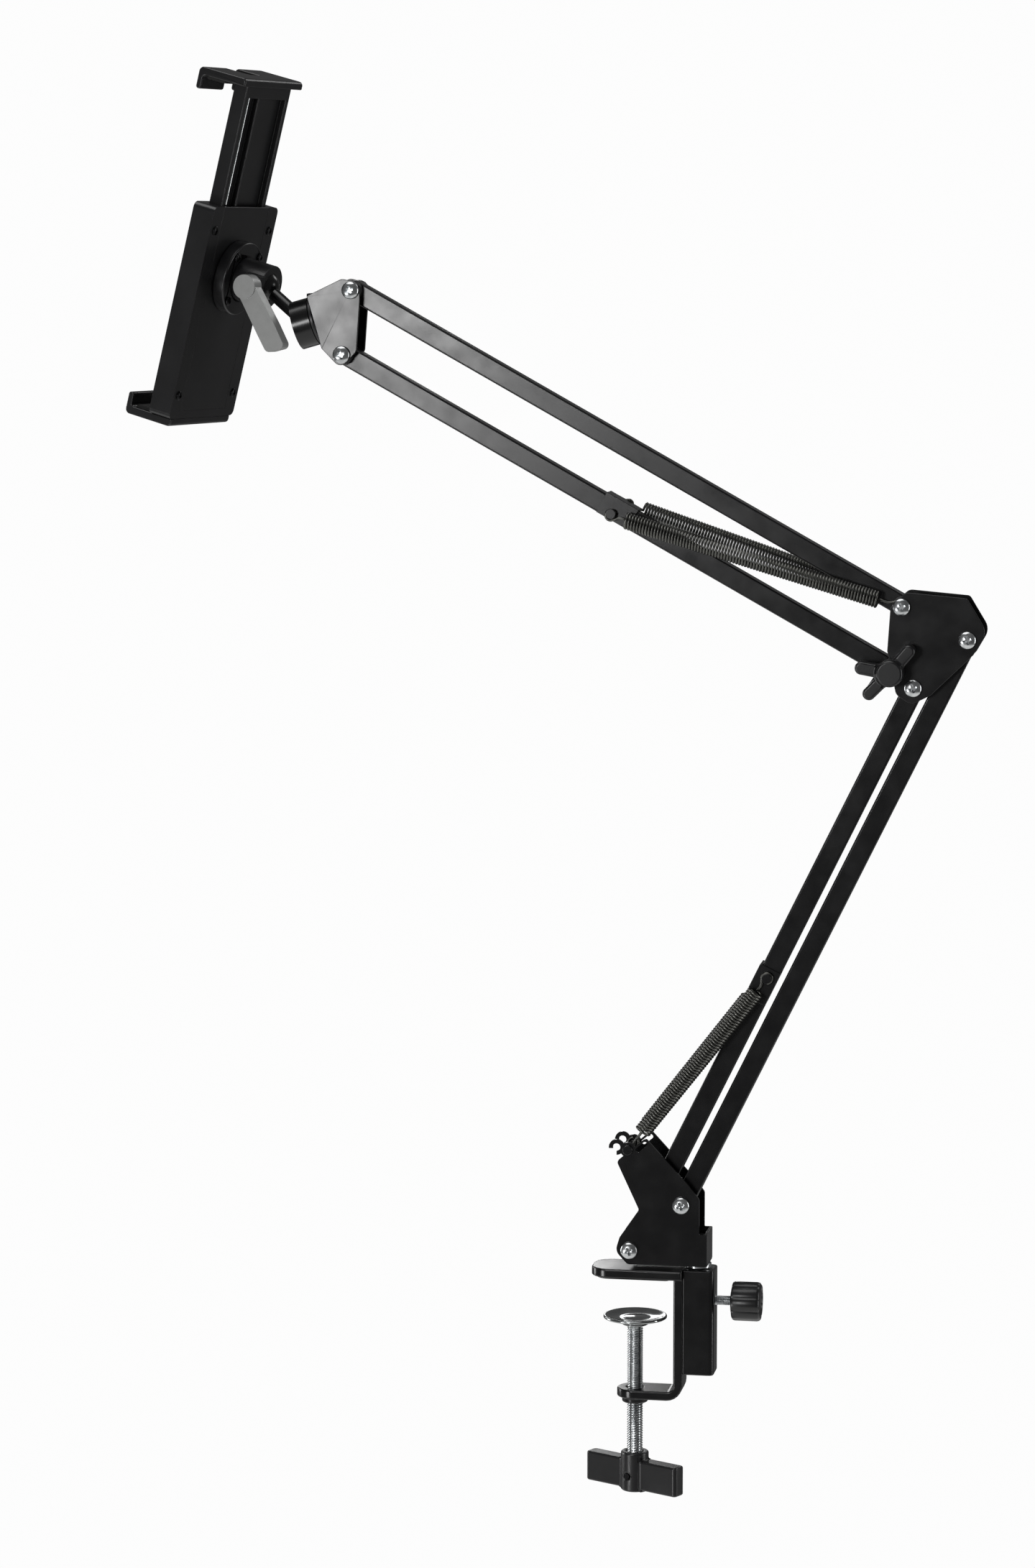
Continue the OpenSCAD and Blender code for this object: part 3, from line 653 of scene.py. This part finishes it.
balanceSpring = {"wireMm": 1.3, "coilMm": 8.6, "looseMm": 0.4, "loopMm": 8, "coilOutMm": 11,
                 "startHookMm": 12, "endHookMm": 8, "pitchMm": 1.5, "stepsPerTurn": 16, "studMm": 3,
                 "elbowStudMm": 5}


def springEnd(node, start):
    # where the far loop is centred: on the line through the coil's middle, one loop short of the
    # farthest point
    low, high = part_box(node)
    centre = (low + high) / 2
    along = Vector((centre.x - start.x, 0, centre.z - start.z)).normalized()
    reach = max((v.co - start).dot(along) for v in frame["nodes"][node].data.vertices)
    loop = (balanceSpring["studMm"] / 2 + balanceSpring["looseMm"] + balanceSpring["wireMm"]) * mm
    return start + along * (reach - loop)


def loopPath(radius, hook, fromDeg):
    # an end loop about the origin and its wire, which leaves along +X
    ring = [Vector((radius * math.cos(math.radians(a)), 0, radius * math.sin(math.radians(a))))
            for a in range(fromDeg, 301, 12)]
    bend = [Vector((radius * 0.86, 0, -radius * 0.60)), Vector((radius * 1.25, 0, -radius * 0.28)),
            Vector((radius * 1.7, 0, -radius * 0.06))]
    straight = [Vector((radius * 1.7 + (hook - radius * 1.7) * i / 5, 0, 0)) for i in range(1, 5)]
    return ring + bend + straight


def makeBalanceSpring(node, start, side, startStudMm):
    look = balanceSpring
    end = springEnd(node, start)
    run = (end - start).length
    along = (end - start).normalized()
    up = Vector((0, 1, 0)).cross(along) * -1
    place = Matrix((along, Vector((0, 1, 0)), up)).transposed().to_4x4()
    place = Matrix.Translation(start) @ place
    wireR = look["wireMm"] / 2 * mm
    coilR = look["coilMm"] / 2 * mm - wireR
    loopY = side * look["loopMm"] * mm
    coilY = side * look["coilOutMm"] * mm
    startHook = look["startHookMm"] * mm
    endHook = look["endHookMm"] * mm
    woundLength = run - startHook - endHook
    turns = round(woundLength / (look["pitchMm"] * mm))
    startR = (startStudMm / 2 + look["looseMm"]) * mm + wireR
    endR = (look["studMm"] / 2 + look["looseMm"]) * mm + wireR
    lift = Vector((0, loopY, 0))
    path = [p + lift for p in loopPath(startR, startHook, 40)]
    steps = turns * look["stepsPerTurn"]
    for i in range(steps + 1):
        a = 2 * math.pi * i / look["stepsPerTurn"]
        path.append(Vector((startHook + woundLength * i / steps, coilY - side * coilR * math.cos(a),
                            coilR * math.sin(a))))
    far = [Vector((run - p.x, loopY, -p.z)) for p in loopPath(endR, endHook, 40)]
    path += far[::-1]
    work = bmesh.new()
    pipe(work, [place @ p for p in path], wireR, 8)
    spring = newPiece(work, "wound_" + node, [node], wire, ride=False, sharpDeg=60)
    if bodyOf[node] == "upper_spring_tail":
        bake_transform(spring)
    else:
        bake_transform(spring)


def makeBalanceSprings():
    foot = pivot("lower_spring_turn")
    elbow = pivot("top_bar_foot")
    for node, side in (("lower_spring_near", -1), ("lower_spring_far", 1)):
        makeBalanceSpring(node, foot, side, balanceSpring["studMm"])
    for node, side in (("upper_spring_near", -1), ("upper_spring_far", 1)):
        makeBalanceSpring(node, elbow, side, balanceSpring["elbowStudMm"])
    print("stage: balance springs")


# ---- elbow

elbowLook = {"plateEdgeMm": 0.32, "knobEdgeMm": 1.3, "boltEdgeMm": 0.5}


def makeElbow():
    softened("elbow_near_plate", powder, elbowLook["plateEdgeMm"])
    softened("elbow_far_plate", powder, elbowLook["plateEdgeMm"])
    softened("elbow_clamp_bolt", zinc, elbowLook["boltEdgeMm"])
    softened("elbow_knob", blackAbs, elbowLook["knobEdgeMm"], 4)
    print("stage: elbow")


# ---- head, ball joint and lever

headLook = {"plateEdgeMm": 0.32, "washerEdgeMm": 0.4, "knuckleEdgeMm": 1.2, "socketEdgeMm": 0.8,
            "ringEdgeMm": 0.9, "leverEdgeMm": 1.2, "boltEdgeMm": 0.6}


def makeHead():
    softened("head_bracket", powder, headLook["plateEdgeMm"])
    softened("swivel_washer", nylon, headLook["washerEdgeMm"])
    softened("swivel_bolt", zinc, headLook["boltEdgeMm"])
    softened("knuckle", powder, headLook["knuckleEdgeMm"], clamped=True)
    softened("ball_socket", blackAbs, headLook["socketEdgeMm"], clamped=True)
    softened("turn_ring", blackAbs, headLook["ringEdgeMm"])
    # the wing lever gets the pale grey painted reflection
    softened("wing_lever", leverPaintedReflectionSurface, headLook["leverEdgeMm"], 4, clamped=True)
    print("stage: head and ball joint")


# ---- holder: its own axes come from its joints

outward = Vector(jointOf["holder_spin"]["axis"]).normalized()
across = Vector(jointOf["ball_tilt"]["axis"]).normalized()
upward = Vector(jointOf["jaw_travel"]["axis"]).normalized()
holderPlace = Matrix((outward, across, upward)).transposed().to_4x4()
holderPlace.translation = pivot("holder_spin")


def holderBoxes(node):
    return looseBoxes(node, holderPlace.inverted())


smallScrew = {"shankMm": 1.2, "headMm": 1.25}


def makeSmallScrews(node):
    # black pan heads in counterbores
    work = bmesh.new()
    for low, high in holderBoxes(node):
        centre = (low + high) / 2
        tall = smallScrew["headMm"] * mm
        shank = smallScrew["shankMm"] * mm
        start = holderPlace @ Vector((high.x - tall, centre.y, centre.z))
        addCrossHead(work, axisPlace(start, outward), (high.y - low.y) / 2, tall)
        length = high.x - tall - low.x
        lathe(work, [(0, 0), (shank, 0), (shank, length - 1 * mm), (0, length)],
              axisPlace(start, -outward), 20)
    newPiece(work, "cross_head_" + node, [node], blackScrew, sharpDeg=40)


padLook = {"ribs": 5, "ribDepthMm": 0.45}


def makeRibbedPad(node, up):
    # rubber strip with rounded ribs along the tablet's edge
    work = bmesh.new()
    count = padLook["ribs"] * 10
    depth = padLook["ribDepthMm"] * mm
    for low, high in holderBoxes(node):
        section = []
        for i in range(count + 1):
            x = low.x + (high.x - low.x) * i / count
            wave = depth * (1 - abs(math.sin(math.pi * padLook["ribs"] * i / count)))
            section.append((x, high.z - wave if up else low.z + wave))
        flat = low.z if up else high.z
        section += [(high.x, flat), (low.x, flat)]
        ends = [[work.verts.new(holderPlace @ Vector((x, y, z))) for x, z in section]
                for y in (low.y, high.y)]
        closeAlong(work, ends)
    newPiece(work, "ribbed_" + node, [node], rubber, sharpDeg=40)


returnSpring = {"wireMm": 0.6, "turns": 26, "stepsPerTurn": 16}


def makeReturnSprings():
    # two light springs that pull the slider back into the sleeve
    work = bmesh.new()
    boxes = holderBoxes("return_springs")
    wireR = returnSpring["wireMm"] / 2 * mm
    for low, high in boxes:
        centre = (low + high) / 2
        radius = (high.y - low.y) / 2 - wireR
        steps = returnSpring["turns"] * returnSpring["stepsPerTurn"]
        path = []
        for i in range(steps + 1):
            a = 2 * math.pi * i / returnSpring["stepsPerTurn"]
            z = low.z + wireR + (high.z - low.z - 2 * wireR) * i / steps
            path.append(holderPlace @ Vector((centre.x + radius * math.cos(a),
                                              centre.y + radius * math.sin(a), z)))
        pipe(work, path, wireR, 6)
    spring = newPiece(work, "wound_return_springs", ["return_springs"], zinc, ride=False,
                      sharpDeg=60)
    low, high = boxes[0]
    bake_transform(spring)


def makeGuideStrip():
    # drawn steel strip in the rail's near groove, crowned so that it catches a line of light
    low, high = holderBoxes("guide_strip")[0]
    half = (high.y - low.y) / 2
    middle = (low.y + high.y) / 2
    crown = min(half, high.x - low.x)
    crowned = [(high.x - crown + crown * math.sin(a), middle - half * math.cos(a))
               for a in [math.pi * i / 10 for i in range(11)]]
    section = [(low.x, low.y)] + crowned + [(low.x, high.y)]
    work = bmesh.new()
    ends = [[work.verts.new(holderPlace @ Vector((x, y, z))) for x, y in section]
            for z in (low.z, high.z)]
    closeAlong(work, ends)
    newPiece(work, "crowned_guide_strip", ["guide_strip"], nickel, sharpDeg=50)


holderLook = {"sleeveEdgeMm": 0.9, "coverEdgeMm": 0.25, "jawEdgeMm": 0.8, "railEdgeMm": 0.45}


def makeHolder():
    softened("holder_sleeve", blackAbs, holderLook["sleeveEdgeMm"], 4, clamped=True)
    softened("sleeve_cover", blackAbs, holderLook["coverEdgeMm"])
    softened("bottom_jaw", blackAbs, holderLook["jawEdgeMm"], clamped=True)
    softened("top_jaw", blackAbs, holderLook["jawEdgeMm"])
    softened("slider_rail", blackAbs, holderLook["railEdgeMm"])
    makeRibbedPad("bottom_pad", True)
    makeRibbedPad("top_pad", False)
    makeSmallScrews("cover_screws")
    makeSmallScrews("ring_screws")
    makeReturnSprings()
    makeGuideStrip()
    print("stage: holder")


# ---- studio

studio = {"floorDrop": 0.75, "floorRadius": 1.6, "floorColour": "#efefed",
          "floorPatch": "#f0f0ee", "floorPatchMm": 40, "floorGlow": 0.25,
          "backdrop": 0.98, "fill": 0.11}
white = (1, 1, 1, 1)


def makeFloor():
    work = bmesh.new()
    bmesh.ops.create_circle(work, cap_ends=True, segments=96, radius=studio["floorRadius"])
    mesh = bpy.data.meshes.new("floor")
    work.to_mesh(mesh)
    work.free()
    material, tree, shader, where = newSurface(
        "paintedFloor", {"Roughness": 0.8, "Emission Strength": studio["floorGlow"],
                         "Emission Color": white})
    shade = patternIn(tree, where, studio["floorPatchMm"], 3.0)
    mixBy(tree, shader, shade, studio["floorColour"], studio["floorPatch"])
    mesh.materials.append(material)
    floor = bpy.data.objects.new("floor", mesh)
    floor.location = (0, 0, -studio["floorDrop"])
    bpy.context.scene.collection.objects.link(floor)


def makeWorld():
    # the camera sees a white sweep; the object is lit by a dimmer room, so that black stays black
    world = bpy.data.worlds.new("studioWorld")
    world.use_nodes = True
    tree = world.node_tree
    tree.nodes.clear()
    path = addNode(tree, "ShaderNodeLightPath")
    level = addNode(tree, "ShaderNodeMapRange",
                    {"To Min": studio["fill"], "To Max": studio["backdrop"]},
                    {"Value": path.outputs["Is Camera Ray"]})
    glow = addNode(tree, "ShaderNodeBackground", {"Color": white},
                   {"Strength": level.outputs[0]})
    addNode(tree, "ShaderNodeOutputWorld", links={"Surface": glow.outputs[0]})
    bpy.context.scene.world = world


lamps = {
    # name: place, what it points at, width, height, power in watts
    "headSoftbox": ((-0.75, -2.5, 0.57), (-0.16, 0, 0.47), 0.52, 0.50, 13.5),
    "topSoftbox": ((-0.4, -0.3, 2.4), (0, 0, 0.3), 1.6, 1.6, 22),
    "rightStrip": ((2.3, 0.1, 0.2), (0.05, 0, 0.2), 0.5, 1.6, 14),
    "leftStrip": ((-1.6, -2.0, -0.60), (0, 0, -0.05), 0.6, 0.5, 11),
    "farLeftStrip": ((-2.3, 0.5, 0.1), (0, 0, 0.1), 0.5, 1.4, 16),
    "padStrip": ((-0.62, 2.5, 0.58), (0, 0, -0.02), 0.44, 0.30, 2.4),
    "backRight": ((1.3, 2.0, 1.9), (0, 0, 0.3), 0.8, 0.8, 6),
    "backLeft": ((-2.2, 1.6, 0.9), (0, 0, 0.3), 0.6, 1.0, 5),
}


def makeLamps():
    for name, (place, target, width, height, power) in lamps.items():
        lamp = bpy.data.lights.new(name, "AREA")
        lamp.shape = "RECTANGLE"
        lamp.size = width
        lamp.size_y = height
        lamp.energy = power
        holder = bpy.data.objects.new(name, lamp)
        holder.location = place
        holder.rotation_euler = (Vector(target) - Vector(place)).to_track_quat("-Z", "Y").to_euler()
        holder.visible_camera = False
        bpy.context.scene.collection.objects.link(holder)


camera = {"place": (0.3223, -2.1684, 0.5132), "target": (-0.0600, 0.0, 0.2468), "lensMm": 102.46}


def makeCamera():
    data = bpy.data.cameras.new("camera")
    data.lens = camera["lensMm"]
    data.sensor_width = 36
    data.dof.use_dof = False
    holder = bpy.data.objects.new("camera", data)
    holder.location = camera["place"]
    aim = Vector(camera["target"]) - Vector(camera["place"])
    holder.rotation_euler = aim.to_track_quat("-Z", "Y").to_euler()
    bpy.context.scene.collection.objects.link(holder)
    bpy.context.scene.camera = holder


makeClamp()
makeFasteners()
makeBaseAndBars()
makeBalanceSprings()
makeElbow()
makeHead()
makeHolder()
makeFloor()
makeWorld()
makeLamps()
makeCamera()
bpy.context.scene.view_settings.view_transform = "Standard"
print("stage: studio")
